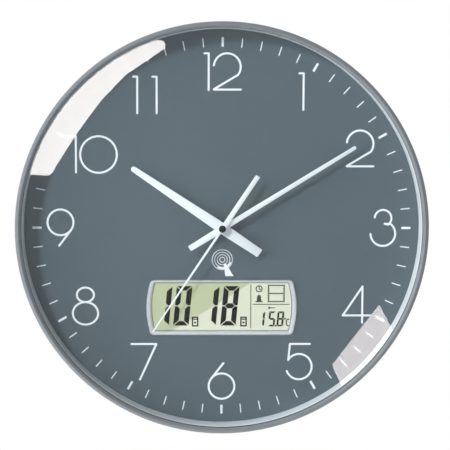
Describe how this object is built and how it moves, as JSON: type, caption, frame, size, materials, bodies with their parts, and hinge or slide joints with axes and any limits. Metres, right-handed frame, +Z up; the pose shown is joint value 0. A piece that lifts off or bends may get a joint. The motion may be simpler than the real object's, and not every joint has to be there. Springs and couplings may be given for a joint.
{
  "type": "wall clock",
  "caption": "Round radio-controlled wall clock: silver rim, slate dial, white baton hands, calendar and temperature window, hinged battery door, wall keyhole.",
  "frame": {"origin": "on the axis of the hands, in the plane of the flat back that lies on the wall", "axes": "+Z up to 12 o'clock, -Y out of the dial towards the viewer, +Y into the wall, +X to the right of the viewer"},
  "size_m": [0.355, 0.046, 0.355],
  "materials": {
    "silver_case": "moulded ABS with satin silver lacquer",
    "bright_ring": "moulded ABS with bright satin silver lacquer",
    "front_glass": "polished flat glass",
    "black_rubber": "matt elastomer",
    "slate_dial": "printed slate grey, fine matt",
    "dark_plastic": "moulded ABS, fine spark texture",
    "black_plastic": "moulded ABS, satin",
    "lcd_panel": "pale green liquid crystal panel behind a polarising film",
    "lcd_reflector": "matt reflector film",
    "hand_lacquer": "white lacquer on pressed aluminium",
    "gear_plastic": "natural acetal",
    "zinc_steel": "zinc plated",
    "nickel_contact": "nickel plated spring steel",
    "copper_winding": "enamelled copper wire",
    "circuit_board": "green solder resist",
    "ferrite": "sintered ferrite",
    "cell_jacket": "plain grey printed jacket"
  },
  "bodies": {
    "clock_case": {"antenna_coil": "copper_winding", "back_cover": "dark_plastic", "battery_1": "cell_jacket", "battery_2": "cell_jacket", "battery_tray": "dark_plastic", "calendar_board": "circuit_board", "case_body": "silver_case", "case_screw_1": "zinc_steel", "case_screw_2": "zinc_steel", "case_screw_3": "zinc_steel", "case_screw_4": "zinc_steel", "case_screw_5": "zinc_steel", "case_screw_6": "zinc_steel", "contact_left": "nickel_contact", "contact_right": "nickel_contact", "dial_nut": "black_plastic", "dial_plate": "slate_dial", "dial_washer": "slate_dial", "door_hinge_pin": "zinc_steel", "ferrite_rod": "ferrite", "front_bezel": "silver_case", "front_glass": "front_glass", "glass_gasket": "black_rubber", "hanger_plate": "zinc_steel", "hanger_screw_1": "zinc_steel", "hanger_screw_2": "zinc_steel", "lcd_bezel": "bright_ring", "lcd_carrier": "dark_plastic", "lcd_glass": "lcd_panel", "lcd_reflector": "lcd_reflector", "minutes_coil": "copper_winding", "minutes_stator": "zinc_steel", "movement_board": "circuit_board", "movement_front_shell": "dark_plastic", "movement_rear_shell": "dark_plastic", "seconds_coil": "copper_winding", "seconds_stator": "zinc_steel", "spacer_ring": "bright_ring", "temperature_sensor": "black_plastic", "zebra_strip_bottom": "black_rubber", "zebra_strip_top": "black_rubber"},
    "minute_set": {"minute_wheel": "gear_plastic", "minute_hand": "hand_lacquer"},
    "hour_set": {"hour_wheel": "gear_plastic", "hour_hand": "hand_lacquer"},
    "second_set": {"second_wheel": "gear_plastic", "second_hand": "hand_lacquer", "hub_cap": "black_plastic"},
    "reversing_gear": {"reversing_wheel": "gear_plastic"},
    "minutes_idler_gear": {"minutes_idler": "gear_plastic"},
    "minutes_motor_rotor": {"minutes_rotor": "zinc_steel"},
    "seconds_idler_gear": {"seconds_idler": "gear_plastic"},
    "seconds_motor_rotor": {"seconds_rotor": "zinc_steel"},
    "battery_lid": {"battery_door": "dark_plastic"},
    "button_1": {"push_button_1": "black_plastic"},
    "button_2": {"push_button_2": "black_plastic"},
    "button_3": {"push_button_3": "black_plastic"},
    "button_4": {"push_button_4": "black_plastic"}
  },
  "joints": [
    {"name": "minute_hand_turn", "type": "hinge", "parent": "clock_case", "child": "minute_set", "pos_m": [0, 0, 0], "axis": [0, 1, 0], "continuous": true},
    {"name": "hour_hand_turn", "type": "hinge", "parent": "clock_case", "child": "hour_set", "pos_m": [0, 0, 0], "axis": [0, 1, 0], "continuous": true},
    {"name": "second_hand_turn", "type": "hinge", "parent": "clock_case", "child": "second_set", "pos_m": [0, 0, 0], "axis": [0, 1, 0], "continuous": true},
    {"name": "reversing_turn", "type": "hinge", "parent": "clock_case", "child": "reversing_gear", "pos_m": [0, 0, 0.009], "axis": [0, 1, 0], "continuous": true},
    {"name": "minutes_idler_turn", "type": "hinge", "parent": "clock_case", "child": "minutes_idler_gear", "pos_m": [0.012, 0, 0], "axis": [0, 1, 0], "continuous": true},
    {"name": "minutes_rotor_turn", "type": "hinge", "parent": "clock_case", "child": "minutes_motor_rotor", "pos_m": [0.02003, 0, -0.00562], "axis": [0, 1, 0], "continuous": true},
    {"name": "seconds_idler_turn", "type": "hinge", "parent": "clock_case", "child": "seconds_idler_gear", "pos_m": [-0.012, 0, 0], "axis": [0, 1, 0], "continuous": true},
    {"name": "seconds_rotor_turn", "type": "hinge", "parent": "clock_case", "child": "seconds_motor_rotor", "pos_m": [-0.02003, 0, -0.00562], "axis": [0, 1, 0], "continuous": true},
    {"name": "battery_door_hinge", "type": "hinge", "parent": "clock_case", "child": "battery_lid", "pos_m": [0, -0.0028, -0.1447], "axis": [-1, 0, 0], "range_deg": [0, 100]},
    {"name": "button_1_press", "type": "slide", "parent": "clock_case", "child": "button_1", "axis": [0, -1, 0], "range_m": [0, 0.001], "stiffness_N_per_m": 150, "springref_m": -0.002},
    {"name": "button_2_press", "type": "slide", "parent": "clock_case", "child": "button_2", "axis": [0, -1, 0], "range_m": [0, 0.001], "stiffness_N_per_m": 150, "springref_m": -0.002},
    {"name": "button_3_press", "type": "slide", "parent": "clock_case", "child": "button_3", "axis": [0, -1, 0], "range_m": [0, 0.001], "stiffness_N_per_m": 150, "springref_m": -0.002},
    {"name": "button_4_press", "type": "slide", "parent": "clock_case", "child": "button_4", "axis": [0, -1, 0], "range_m": [0, 0.001], "stiffness_N_per_m": 150, "springref_m": -0.002}
  ],
  "couplings": [
    {"joint": "hour_hand_turn", "follows": "minute_hand_turn", "ratio": 0.083333},
    {"joint": "reversing_turn", "follows": "minute_hand_turn", "ratio": -0.33333},
    {"joint": "minutes_idler_turn", "follows": "minute_hand_turn", "ratio": -5},
    {"joint": "minutes_rotor_turn", "follows": "minute_hand_turn", "ratio": 30},
    {"joint": "seconds_idler_turn", "follows": "second_hand_turn", "ratio": -5},
    {"joint": "seconds_rotor_turn", "follows": "second_hand_turn", "ratio": 30}
  ]
}
